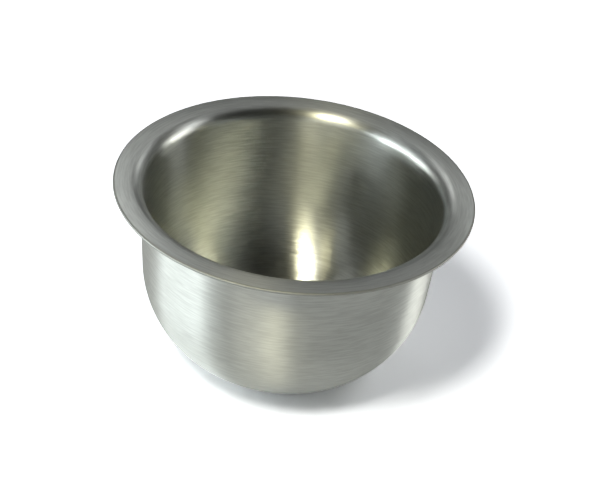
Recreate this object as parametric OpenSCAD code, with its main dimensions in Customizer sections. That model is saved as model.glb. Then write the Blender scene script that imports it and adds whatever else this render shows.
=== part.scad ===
// Evaporating dish: one sheet of stainless steel, pressed and spun into a deep round bowl.
// It has a flat foot, a slightly tapered wall and a narrow flat flange, and it is round about the Z axis.
// Millimetres, +Z up, origin at the centre of the foot, on the table.

/* [Rim] */
// Outside diameter of the flange
rim_d = 80; // [76:1:84]
// Width of the flange's flat part
flange_w = 3.8; // [3:0.1:4.5]
// Radius of the shoulder's top surface, where the flange turns down into the wall
shoulder_r = 3; // [2.2:0.1:3.6]

/* [Bowl] */
// Height from the table to the top of the flange
height = 43.5; // [41:0.5:46]
// Taper of the wall, in degrees from vertical on each side
wall_taper = 4; // [2:0.5:6]
// Outside radius of the round between the wall and the foot's bend
bottom_r = 26; // [24.5:0.5:28]
// Thickness of the sheet
sheet_t = 0.7; // [0.4:0.1:1]

/* [Foot] */
// Diameter of the flat foot that rests on the table
foot_d = 31; // [29:1:34]
// Outside radius of the bend around the foot
foot_bend_r = 8; // [5:0.5:9]

/* [Hidden] */
$fn = 180;

rim_r = rim_d / 2;
foot_r = foot_d / 2;
top_clearance = 1; // how far the cut for the cavity runs on above the flange

// The half section is drawn in X (radius) and Y (height).
// Wall directions: down along the wall, and square to it towards the axis.
down_wall = [-sin(wall_taper), -cos(wall_taper)];
inward = [-cos(wall_taper), sin(wall_taper)];

// Centres of the two round stretches whose places are given
shoulder_centre = [rim_r - flange_w, height - shoulder_r];
foot_bend_centre = [foot_r, foot_bend_r];

// The straight wall ends where the bottom round touches both the wall and the foot's bend.
// To find that place, the round's centre slides down beside the wall until it is
// bottom_r - foot_bend_r away from the centre of the foot's bend.
slide_start = shoulder_centre + (shoulder_r - sheet_t + bottom_r) * inward;
from_bend = slide_start - foot_bend_centre;
along_wall = from_bend * down_wall;
centre_gap = bottom_r - foot_bend_r;
wall_l = -along_wall - sqrt(along_wall ^ 2 - from_bend * from_bend + centre_gap ^ 2);
bottom_centre = slide_start + wall_l * down_wall;
towards_bend = (foot_bend_centre - bottom_centre) / centre_gap;

// Part of a circle that lies in the rectangle between two corners
module round_stretch(centre, r, low, high) {
    intersection() {
        translate(centre) circle(r = r);
        translate(low) square(high - low);
    }
}

// Half section of all that the bowl's surface encloses, up to the given top.
// depth says how far the surface lies inside the sheet: 0 is the outer face, sheet_t is the inner face.
module bowl_section(depth, top) {
    foot_edge = [foot_r, depth];
    bend_end = bottom_centre + (bottom_r - depth) * towards_bend;
    wall_foot = bottom_centre - (bottom_r - depth) * inward;
    wall_top = wall_foot - wall_l * down_wall;
    difference() {
        union() {
            polygon([
                [0, depth], foot_edge, bend_end, wall_foot, wall_top,
                shoulder_centre, [shoulder_centre.x, top], [0, top]
            ]);
            round_stretch(foot_bend_centre, foot_bend_r - depth, foot_edge, [rim_r, bend_end.y]);
            round_stretch(bottom_centre, bottom_r - depth, [0, bend_end.y], [rim_r, bottom_centre.y]);
        }
        translate(shoulder_centre) circle(r = shoulder_r - sheet_t + depth);
    }
}

// Half section of the sheet: the bowl's outside and the flange, less the cavity
module sheet_section() {
    difference() {
        union() {
            bowl_section(0, height);
            translate([0, height - sheet_t]) square([rim_r, sheet_t]);
        }
        bowl_section(sheet_t, height + top_clearance);
    }
}

// The whole dish, in brushed stainless steel
module dish() {
    color("silver") rotate_extrude() sheet_section();
}

dish();
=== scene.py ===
"""Looks of a steel evaporating dish: a turned skin over the CAD sheet, brushed steel and soft light."""

import math

import bpy
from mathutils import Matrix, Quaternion, Vector, noise


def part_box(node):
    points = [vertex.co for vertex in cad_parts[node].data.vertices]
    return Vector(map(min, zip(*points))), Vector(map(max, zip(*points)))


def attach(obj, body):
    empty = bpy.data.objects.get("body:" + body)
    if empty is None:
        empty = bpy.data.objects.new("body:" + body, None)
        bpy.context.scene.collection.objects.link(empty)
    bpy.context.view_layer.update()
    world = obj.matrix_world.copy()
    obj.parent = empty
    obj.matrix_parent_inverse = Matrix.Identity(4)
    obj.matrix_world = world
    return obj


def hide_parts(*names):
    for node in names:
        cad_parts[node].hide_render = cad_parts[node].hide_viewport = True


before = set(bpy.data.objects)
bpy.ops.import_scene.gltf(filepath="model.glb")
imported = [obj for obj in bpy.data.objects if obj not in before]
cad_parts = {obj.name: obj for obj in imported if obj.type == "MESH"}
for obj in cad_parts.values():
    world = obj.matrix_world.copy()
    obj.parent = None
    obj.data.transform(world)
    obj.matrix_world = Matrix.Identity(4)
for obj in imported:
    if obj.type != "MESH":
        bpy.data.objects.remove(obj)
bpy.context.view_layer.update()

# ---------------------------------------------------------------- sizes, in metres

MM = 0.001
RIM_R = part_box("dish")[1].x            # the flange's outside radius
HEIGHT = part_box("dish")[1].z           # the flange's top
FLANGE_W = 3.8 * MM                    # flat part of the flange
SHOULDER_R = 3.0 * MM                  # top surface of the bend between the flange and the wall
SHEET = 0.7 * MM                       # thickness of the steel
TAPER = math.radians(4)                # wall's lean from vertical
BOTTOM_R = 26.0 * MM                   # outside of the round between the wall and the foot's bend
FOOT_R = 15.5 * MM                     # flat foot
FOOT_BEND_R = 8.0 * MM                 # outside of the bend round the foot

# The skin's own small detail, all of it inside the CAD sheet's box
CROWN_R = 30.0 * MM                    # the flange's top is crowned to this radius, highest at mid width
EDGE_R = 0.34 * MM                     # rounded corners of the flange's cut edge
WARP = 0.05 * MM                       # out-of-flat of the flange round its turn
RING_DEPTH = 0.004 * MM                # soft rings that the spinning tool left
RING_PITCH = 1.5 * MM                  # usual distance from one ring to the next
RING_DRIFT = 0.25                      # how much the rings change round the turn
FINE_STEP = 0.3 * MM                   # spacing of the section's points on the foot's bend and the flange
WIDE_STEP = 0.6 * MM                   # and on the straight and wide stretches
SHOULDER_STEP = 0.15 * MM              # and on the shoulder, which holds the sharpest highlights
EDGE_STEP = EDGE_R / 4                 # and round the cut edge's corners
TURN_STEPS = 288                       # faces round the dish

LIGHT_DISTANCE = 1.2                   # from the dish to each soft light
FLOOR_HALF = 3.0                       # half the side of the floor

# ---------------------------------------------------------------- the steel's finish and the painted shade on its cut edge

# Each noise makes marks along the brush lines. The first number sets how short the marks are round
# the dish, and the second is about how many of them fit in a millimetre across the lines.
FINE_LINES = (3.0, 5.0)                # the finest brush lines
STROKES = (7.0, 2.6)                   # lighter and darker strokes
LEANS = (5.0, 2.4)                     # sideways lean of one brush line and the next
PATCHES = (3.0, 0.12)                  # broad patches that are slightly rougher or smoother

STROKE_TONES = (0.35, 0.65)            # the strokes' noise that is fully dark and fully light
PATCH_TONES = (0.3, 0.7)               # the patches' noise that is fully smooth and fully rough

RIM_FINISH_FROM = HEIGHT - SHOULDER_R  # height on the shoulder where the walls' finish ends
RIM_FINISH_FULL = HEIGHT - 0.6 * SHOULDER_R
# The edge mask gives the cut edge its rougher finish and its painted shade
EDGE_FINISH_AND_SHADE_FROM = RIM_R - 1.5 * EDGE_R
EDGE_FINISH_AND_SHADE_FULL = RIM_R - 0.8 * EDGE_R

INSIDE_ROUGHNESS = 0.295
OUTSIDE_ROUGHNESS = 0.395
RIM_ROUGHNESS = 0.34                   # flange and shoulder
EDGE_ROUGHNESS = 0.6                   # cut edge
PATCH_ROUGHNESS = (-0.01, 0.015)       # added to the walls' roughness, from smooth patch to rough patch
WALL_STRETCH = 0.97                    # how far highlights are drawn out across the brush lines
RIM_STRETCH = 0.8
ACROSS = 0.25                          # share of a turn that points the stretch across the brush lines
WALL_ACROSS = 0.272                    # the walls' brush lines climb a little round the turn
WALL_LEAN = 0.055                      # most sideways lean of the surface from line to line
RIM_LEAN = 0.015
FINE_LINE_DEPTH = 0.005 * MM
STROKE_DEPTH = 0.022 * MM

DARK_STROKE = (0.525, 0.535, 0.52, 1)
LIGHT_STROKE = (0.62, 0.635, 0.615, 1)
# Painted shade: the cut edge and the flange's outermost half millimetre are darkened in colour, where the
# rounded edge turns away from the light
EDGE_PAINTED_SHADE = (0.35, 0.355, 0.345, 1)

# ---------------------------------------------------------------- light colours and the room

YELLOW = (1.0, 0.935, 0.60)
WARM = (1.0, 0.985, 0.84)
PALE_WARM = (1.0, 1.0, 0.93)
COOL = (0.93, 1.0, 1.0)
NEUTRAL = (0.98, 1.0, 0.98)
ROOM_COLOUR = (0.95, 1.0, 0.97, 1)
ROOM_AT_TABLE = 0.22                   # the room's strength level with the table
ROOM_ABOVE = 0.006                     # and above
ROOM_TOP_OF_BAND = 0.4                 # upward part of the direction where the pale band ends
PAPER_REFLECTED = 0.95                 # the floor's tone in the steel
PAPER_SEEN = 1.95                      # the floor's tone to the camera
PAPER_SEEN_BLUE = 1.06                 # evens out the warm key light on the floor, to the camera only


# ---------------------------------------------------------------- section of the sheet

def straight(start, end, step):
    """Points from start up to, but not including, end."""
    count = max(1, round((end - start).length / step))
    return [start.lerp(end, i / count) for i in range(count)]


def arc(centre, radius, start, end, step):
    """Points on a circle from angle start up to, but not including, angle end, in radians."""
    count = max(2, round(abs(end - start) * radius / step))
    angles = [start + (end - start) * i / count for i in range(count)]
    return [centre + radius * Vector((math.cos(a), math.sin(a))) for a in angles]


def flange_crest():
    """Centre of the crown's circle, in the half section."""
    return Vector((RIM_R - FLANGE_W / 2, HEIGHT - CROWN_R))


def crown_tilt(centre_x, radius):
    """The crown's lean from level, where a circle about its centre passes over centre_x."""
    return math.asin((centre_x - flange_crest().x) / radius)


def bowl_face(depth):
    """One face of the sheet, from the axis to the flange's edge. Depth 0 is outside, SHEET is inside."""
    down_wall = Vector((-math.sin(TAPER), -math.cos(TAPER)))
    inward = Vector((-math.cos(TAPER), math.sin(TAPER)))
    # The shoulder's circle touches the crown's circle from inside, so one runs smoothly into the other.
    lean = crown_tilt(RIM_R - FLANGE_W, CROWN_R - SHOULDER_R)
    shoulder = flange_crest() + (CROWN_R - SHOULDER_R) * Vector((math.sin(lean), math.cos(lean)))
    bend = Vector((FOOT_R, FOOT_BEND_R))
    # The wall ends where a round of BOTTOM_R touches both the wall and the foot's bend.
    slide = shoulder + (SHOULDER_R - SHEET + BOTTOM_R) * inward
    gap = BOTTOM_R - FOOT_BEND_R
    along = (slide - bend).dot(down_wall)
    wall_length = -along - math.sqrt(along ** 2 - (slide - bend).length_squared + gap ** 2)
    bottom = slide + wall_length * down_wall
    meet = math.atan2(bend.y - bottom.y, bend.x - bottom.x)
    wall_foot = bottom - (BOTTOM_R - depth) * inward
    wall_top = wall_foot - wall_length * down_wall
    shoulder_r = SHOULDER_R - SHEET + depth
    crown_r = CROWN_R - SHEET + depth
    edge_lean = edge_corner(depth)[1]
    points = straight(Vector((0, depth)), Vector((FOOT_R, depth)), WIDE_STEP)
    points += arc(bend, FOOT_BEND_R - depth, -math.pi / 2, meet, FINE_STEP)
    points += arc(bottom, BOTTOM_R - depth, meet, -TAPER, WIDE_STEP)
    points += straight(wall_foot, wall_top, WIDE_STEP)
    points += arc(shoulder, shoulder_r, math.pi - TAPER, math.pi / 2 - lean, SHOULDER_STEP)
    points += arc(flange_crest(), crown_r, math.pi / 2 - lean, math.pi / 2 - edge_lean, FINE_STEP)
    return points


def edge_corner(depth):
    """Centre of the cut edge's corner round by the face at this depth, and the crown's lean over it."""
    to_centre = EDGE_R if depth == 0 else -EDGE_R
    radius = CROWN_R - SHEET + depth + to_centre
    lean = crown_tilt(RIM_R - EDGE_R, radius)
    return flange_crest() + radius * Vector((math.sin(lean), math.cos(lean))), lean


def cut_edge():
    """The rounded edge of the flange, from its top face down to its underside."""
    top_corner, top_lean = edge_corner(SHEET)
    low_corner, low_lean = edge_corner(0)
    points = arc(top_corner, EDGE_R, math.pi / 2 - top_lean, 0, EDGE_STEP)
    points += arc(low_corner, EDGE_R, 0, -math.pi / 2 - low_lean, EDGE_STEP)
    return points


def sheet_section():
    """The closed half section: inside face, edge, outside face. Both ends lie on the axis."""
    outside = bowl_face(0)
    return bowl_face(SHEET) + cut_edge() + outside[::-1]


def lengths_along(section):
    """Distance of each point from the section's start, along the section."""
    total = [0.0]
    for before, after in zip(section, section[1:]):
        total.append(total[-1] + (after - before).length)
    return total


# ---------------------------------------------------------------- skin

def spin_ring(along, turn):
    """Depth of the spinning tool's rings along the section, drifting a little round the turn."""
    drift = RING_DRIFT * Vector((math.cos(turn), math.sin(turn)))
    wave = noise.noise(Vector((drift.x, drift.y, along / RING_PITCH)))
    return RING_DEPTH * (0.5 + 0.5 * wave)


def flange_drop(radius, turn):
    """How far the flange lies below its true place: slow waves round the turn, none at the shoulder."""
    share = max(0.0, (radius - (RIM_R - FLANGE_W)) / FLANGE_W)
    # Two waves round the turn and three smaller ones added to them, which together stay from 0 to 1
    warp = 0.5 + 0.3 * math.cos(2 * turn + 0.6) + 0.2 * math.cos(3 * turn + 2.1)
    return WARP * warp * share


def turned_skin(name, section):
    """Turns the closed section about Z into one closed mesh. Its along attribute is in millimetres."""
    along = lengths_along(section)
    vertices = [(0, 0, section[0].y)]
    along_mm = [0.0]
    rings = range(1, len(section) - 1)
    for i in rings:
        tangent = (section[i + 1] - section[i - 1]).normalized()
        into_sheet = Vector((tangent.y, -tangent.x))
        # The foot's underside and the flange's edge stay true, without rings.
        stays_true = section[i].y < EDGE_R or section[i].x > RIM_R - EDGE_R
        for step in range(TURN_STEPS):
            turn = 2 * math.pi * step / TURN_STEPS
            depth = 0.0 if stays_true else spin_ring(along[i], turn)
            point = section[i] + depth * into_sheet
            drop = flange_drop(point.x, turn)
            vertices.append((point.x * math.cos(turn), point.x * math.sin(turn), point.y - drop))
            along_mm.append(along[i] / MM)
    vertices.append((0, 0, section[-1].y))
    along_mm.append(along[-1] / MM)

    faces = []
    last = len(vertices) - 1
    last_ring = 1 + (len(rings) - 1) * TURN_STEPS
    for step in range(TURN_STEPS):
        after = (step + 1) % TURN_STEPS
        faces.append((0, 1 + step, 1 + after))
        faces.append((last, last_ring + after, last_ring + step))
        for ring in range(len(rings) - 1):
            low = 1 + ring * TURN_STEPS
            high = low + TURN_STEPS
            faces.append((low + step, high + step, high + after, low + after))

    mesh = bpy.data.meshes.new(name)
    mesh.from_pydata(vertices, [], faces)
    mesh.attributes.new("along", "FLOAT", "POINT").data.foreach_set("value", along_mm)
    mesh.shade_smooth()
    skin = bpy.data.objects.new(name, mesh)
    bpy.context.scene.collection.objects.link(skin)
    return skin


# ---------------------------------------------------------------- materials

class Nodes:
    """A short way to write a node tree."""

    def __init__(self, tree):
        self.tree = tree
        tree.nodes.clear()

    def add(self, kind, inputs=None, **settings):
        """A new node. Each input is a value or another node's output."""
        node = self.tree.nodes.new(kind)
        for key, value in settings.items():
            setattr(node, key, value)
        for key, value in (inputs or {}).items():
            if isinstance(value, bpy.types.NodeSocket):
                self.tree.links.new(value, node.inputs[key])
            else:
                node.inputs[key].default_value = value
        return node

    def math(self, operation, *values):
        """The result of one arithmetic step."""
        return self.add("ShaderNodeMath", dict(enumerate(values)), operation=operation).outputs[0]

    def noise(self, vector, detail=2.0, roughness=0.5):
        """Soft noise about 0.5, one bump to each unit of the vector."""
        inputs = {"Vector": vector, "Scale": 1.0, "Detail": detail, "Roughness": roughness}
        return self.add("ShaderNodeTexNoise", inputs).outputs["Fac"]

    def spread(self, value, low, high, to_low, to_high):
        """The value, carried over from one range to the other and kept inside it."""
        inputs = {0: value, 1: low, 2: high, 3: to_low, 4: to_high}
        return self.add("ShaderNodeMapRange", inputs).outputs[0]

    def blend(self, mask, first, second):
        """A value that is first where the mask is 0 and second where it is 1."""
        return self.spread(mask, 0.0, 1.0, first, second)

    def mix_colour(self, mask, first, second):
        """A colour that is first where the mask is 0 and second where it is 1."""
        # The node's colour sockets are inputs 6 and 7 and output 2.
        inputs = {"Factor": mask, 6: first, 7: second}
        return self.add("ShaderNodeMix", inputs, data_type="RGBA").outputs[2]


def turned_vector(nodes, turn_scale, lines_per_mm):
    """Coordinates that run round the dish and along its section, for noise that makes brush lines."""
    place = nodes.add("ShaderNodeTexCoord").outputs["Object"]
    split = nodes.add("ShaderNodeSeparateXYZ", {0: place})
    level = {0: split.outputs[0], 1: split.outputs[1], 2: 0.0}
    flat = nodes.add("ShaderNodeCombineXYZ", level).outputs[0]
    unit = nodes.add("ShaderNodeVectorMath", {0: flat}, operation="NORMALIZE").outputs[0]
    turn = nodes.add("ShaderNodeSeparateXYZ", {0: unit})
    along = nodes.add("ShaderNodeAttribute", attribute_name="along").outputs["Fac"]
    return nodes.add("ShaderNodeCombineXYZ", {
        0: nodes.math("MULTIPLY", turn.outputs[0], turn_scale),
        1: nodes.math("MULTIPLY", turn.outputs[1], turn_scale),
        2: nodes.math("MULTIPLY", along, lines_per_mm),
    }).outputs[0]


def leaning_normal(nodes, lean):
    """The surface normal, turned sideways round the dish by lean, as brush lines lean this way or that."""
    normal = nodes.add("ShaderNodeNewGeometry").outputs["Normal"]
    up = nodes.add("ShaderNodeCombineXYZ", {0: 0.0, 1: 0.0, 2: 1.0}).outputs[0]
    both = {0: up, 1: normal}
    round_turn = nodes.add("ShaderNodeVectorMath", both, operation="CROSS_PRODUCT").outputs[0]
    scaled = {0: round_turn, "Scale": lean}
    sideways = nodes.add("ShaderNodeVectorMath", scaled, operation="SCALE").outputs[0]
    leaning = nodes.add("ShaderNodeVectorMath", {0: normal, 1: sideways}, operation="ADD").outputs[0]
    return nodes.add("ShaderNodeVectorMath", {0: leaning}, operation="NORMALIZE").outputs[0]


def brushed_steel(name, inside_length):
    """Steel brushed round the dish, finer inside, where the section's length is below inside_length."""
    material = bpy.data.materials.new(name)
    material.use_nodes = True
    nodes = Nodes(material.node_tree)

    fine_lines = nodes.noise(turned_vector(nodes, *FINE_LINES), detail=3.0, roughness=0.7)
    strokes = nodes.noise(turned_vector(nodes, *STROKES))
    leans = nodes.noise(turned_vector(nodes, *LEANS), detail=3.0, roughness=0.6)
    patches = nodes.noise(turned_vector(nodes, *PATCHES), detail=3.0)

    # Three masks: rim for the flange and most of the shoulder, edge for the cut edge and its painted
    # shade, and outside
    place = nodes.add("ShaderNodeSeparateXYZ", {0: nodes.add("ShaderNodeTexCoord").outputs["Object"]})
    height = place.outputs[2]
    x_squared = nodes.math("POWER", place.outputs[0], 2.0)
    y_squared = nodes.math("POWER", place.outputs[1], 2.0)
    radius = nodes.math("SQRT", nodes.math("ADD", x_squared, y_squared))
    along = nodes.add("ShaderNodeAttribute", attribute_name="along").outputs["Fac"]
    rim = nodes.spread(height, RIM_FINISH_FROM, RIM_FINISH_FULL, 0.0, 1.0)
    edge = nodes.spread(radius, EDGE_FINISH_AND_SHADE_FROM, EDGE_FINISH_AND_SHADE_FULL, 0.0, 1.0)
    outside = nodes.math("GREATER_THAN", along, inside_length)

    stroke_mask = nodes.spread(strokes, *STROKE_TONES, 0.0, 1.0)
    brushed = nodes.mix_colour(stroke_mask, DARK_STROKE, LIGHT_STROKE)
    # The cut edge's colour is darkened as painted shade, over the strokes' own tone
    stroke_tone_and_edge_shade = nodes.mix_colour(edge, brushed, EDGE_PAINTED_SHADE)

    even_roughness = nodes.blend(outside, INSIDE_ROUGHNESS, OUTSIDE_ROUGHNESS)
    patch_roughness = nodes.spread(patches, *PATCH_TONES, *PATCH_ROUGHNESS)
    wall_roughness = nodes.math("ADD", even_roughness, patch_roughness)
    roughness = nodes.blend(rim, wall_roughness, RIM_ROUGHNESS)
    roughness = nodes.blend(edge, roughness, EDGE_ROUGHNESS)
    stretch = nodes.blend(edge, nodes.blend(rim, WALL_STRETCH, RIM_STRETCH), 0.0)

    most_lean = nodes.blend(rim, WALL_LEAN, RIM_LEAN)
    lean = nodes.math("MULTIPLY", nodes.spread(leans, 0.0, 1.0, -1.0, 1.0), most_lean)
    fine_bump = nodes.add("ShaderNodeBump", {
        "Distance": FINE_LINE_DEPTH, "Height": fine_lines, "Normal": leaning_normal(nodes, lean),
    })
    bump = nodes.add("ShaderNodeBump", {
        "Distance": STROKE_DEPTH, "Height": strokes, "Normal": fine_bump.outputs[0],
    })
    tangent = nodes.add("ShaderNodeTangent", direction_type="RADIAL", axis="Z")
    shader = nodes.add("ShaderNodeBsdfPrincipled", {
        "Base Color": stroke_tone_and_edge_shade,
        "Metallic": 1.0,
        "Roughness": roughness,
        "Anisotropic": stretch,
        "Anisotropic Rotation": nodes.blend(rim, WALL_ACROSS, ACROSS),
        "Tangent": tangent.outputs[0],
        "Normal": bump.outputs[0],
    })
    nodes.add("ShaderNodeOutputMaterial", {"Surface": shader.outputs[0]})
    return material


# ---------------------------------------------------------------- stage

def direction(azimuth, elevation):
    """Unit vector from the dish. Azimuth 0 is right of the dish, 90 behind it and 270 at the camera."""
    turn = math.radians(azimuth)
    rise = math.radians(elevation)
    return Vector((math.cos(turn) * math.cos(rise), math.sin(turn) * math.cos(rise), math.sin(rise)))


def soft_light(name, azimuth, elevation, width, height, radiance, colour, only=None):
    """A rectangular light that faces the dish, with angles in degrees. With only, it lights one object."""
    data = bpy.data.lights.new(name, "AREA")
    data.shape = "RECTANGLE"
    circle_r = LIGHT_DISTANCE * math.cos(math.radians(elevation))
    data.size = 2 * circle_r * math.tan(math.radians(width / 2))
    data.size_y = 2 * LIGHT_DISTANCE * math.tan(math.radians(height / 2))
    data.energy = radiance * math.pi * data.size * data.size_y
    data.color = colour
    light = bpy.data.objects.new(name, data)
    towards = direction(azimuth, elevation)
    light.location = Vector((0, 0, HEIGHT / 2)) + LIGHT_DISTANCE * towards
    light.rotation_mode = "QUATERNION"
    light.rotation_quaternion = towards.to_track_quat("Z", "Y")
    bpy.context.scene.collection.objects.link(light)
    if only is not None:
        lit = bpy.data.collections.new(name)
        lit.objects.link(only)
        light.light_linking.receiver_collection = lit


def table_white(name):
    """White paper, brighter to the camera than in the steel, as an exposure for dark steel makes it."""
    material = bpy.data.materials.new(name)
    material.use_nodes = True
    nodes = Nodes(material.node_tree)
    seen = nodes.add("ShaderNodeLightPath").outputs["Is Camera Ray"]
    tone = nodes.blend(seen, PAPER_REFLECTED, PAPER_SEEN)
    blue = nodes.blend(seen, PAPER_REFLECTED, PAPER_SEEN * PAPER_SEEN_BLUE)
    colour = nodes.add("ShaderNodeCombineXYZ", {0: tone, 1: tone, 2: blue}).outputs[0]
    shader = nodes.add("ShaderNodeBsdfDiffuse", {"Color": colour})
    nodes.add("ShaderNodeOutputMaterial", {"Surface": shader.outputs[0]})
    return material


def add_floor():
    """A plain square floor at the table's height."""
    corners = [(x * FLOOR_HALF, y * FLOOR_HALF, 0) for x, y in ((-1, -1), (1, -1), (1, 1), (-1, 1))]
    mesh = bpy.data.meshes.new("floor")
    mesh.from_pydata(corners, [], [(0, 1, 2, 3)])
    mesh.materials.append(table_white("table_white"))
    floor = bpy.data.objects.new("floor", mesh)
    bpy.context.scene.collection.objects.link(floor)
    return floor


def add_room():
    """A dim room: a pale band at the table's height, dark above it."""
    world = bpy.data.worlds.new("room")
    world.use_nodes = True
    nodes = Nodes(world.node_tree)
    place = nodes.add("ShaderNodeTexCoord").outputs["Generated"]
    up = nodes.add("ShaderNodeSeparateXYZ", {0: place}).outputs[2]
    strength = nodes.spread(up, 0.0, ROOM_TOP_OF_BAND, ROOM_AT_TABLE, ROOM_ABOVE)
    background = nodes.add("ShaderNodeBackground", {"Color": ROOM_COLOUR, "Strength": strength})
    nodes.add("ShaderNodeOutputWorld", {"Surface": background.outputs[0]})
    bpy.context.scene.world = world


def add_camera():
    """A long lens, looking down at the dish and tipped a little to one side, with angles in degrees."""
    aim = Vector((2.6 * MM, 0, 27.5 * MM))
    distance = 405.4 * MM
    elevation = 34.3
    roll = 6.6
    data = bpy.data.cameras.new("camera")
    data.sensor_width = 36
    data.lens = 108
    data.clip_start = 0.01
    camera = bpy.data.objects.new("camera", data)
    back = direction(270, elevation)
    camera.location = aim + distance * back
    camera.rotation_mode = "QUATERNION"
    tip = Quaternion((0, 0, 1), math.radians(roll))
    camera.rotation_quaternion = (-back).to_track_quat("-Z", "Y") @ tip
    bpy.context.scene.collection.objects.link(camera)
    bpy.context.scene.camera = camera


# ---------------------------------------------------------------- the dish on its stage

dish_skin = turned_skin("dish_skin", sheet_section())
inside_length = lengths_along(bowl_face(SHEET))[-1] / MM
dish_skin.data.materials.append(brushed_steel("brushed_steel", inside_length))
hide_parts("dish")
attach(dish_skin, "root")

floor = add_floor()
add_room()

# Each light: name, then azimuth, elevation, width and height in degrees, then radiance and colour.
# The key light, its shadow on the floor and its highlights on the steel
soft_light("key", 238, 58, 18, 16, 11, WARM)
soft_light("shadow_key", 238, 61, 22, 16, 20, NEUTRAL, only=floor)
soft_light("shadow_fill", 30, 42, 40, 24, 1.5, NEUTRAL, only=floor)
soft_light("glint", 248, 51, 11, 12, 44, YELLOW, only=dish_skin)
soft_light("glint_low", 232, 36, 12, 10, 5, YELLOW, only=dish_skin)
soft_light("glint_high", 212, 72, 24, 8, 4, WARM, only=dish_skin)

# Low lights and windows round the table, for the bands on the walls
soft_light("low_left", 187, 3, 46, 6, 26, COOL, only=dish_skin)
soft_light("low_left_upper", 208, 10, 26, 8, 6, COOL, only=dish_skin)
soft_light("left_window", 192, 20, 34, 12, 1.8, COOL)
soft_light("low_front", 250, 4, 40, 8, 3.4, NEUTRAL)
soft_light("low_right", 13, 3, 20, 6, 19, PALE_WARM, only=dish_skin)
soft_light("low_right_upper", 8, 12, 18, 12, 2.4, PALE_WARM, only=dish_skin)
soft_light("low_back_left", 162, 4, 28, 8, 3.6, NEUTRAL)
soft_light("right_tall", 4, 36, 14, 16, 2.0, NEUTRAL, only=dish_skin)
soft_light("right_window", 5, 25, 10, 8, 6, NEUTRAL, only=dish_skin)

# Behind the dish and above it, for the flange
soft_light("back_right", 66, 29, 18, 18, 1.25, NEUTRAL)
soft_light("back_left", 108, 35, 18, 14, 1.5, NEUTRAL)
soft_light("back_left_high", 122, 42, 18, 12, 0.9, NEUTRAL)
soft_light("behind", 90, 42, 30, 9, 1.0, NEUTRAL)
soft_light("high_right", 20, 48, 30, 10, 1.2, NEUTRAL)
soft_light("high_left", 184, 48, 30, 10, 0.9, NEUTRAL)
soft_light("overhead", 90, 70, 120, 12, 0.65, NEUTRAL)
add_camera()

scene = bpy.context.scene
scene.view_settings.view_transform = "Standard"
scene.cycles.glossy_bounces = 8  # light crosses the bowl several times
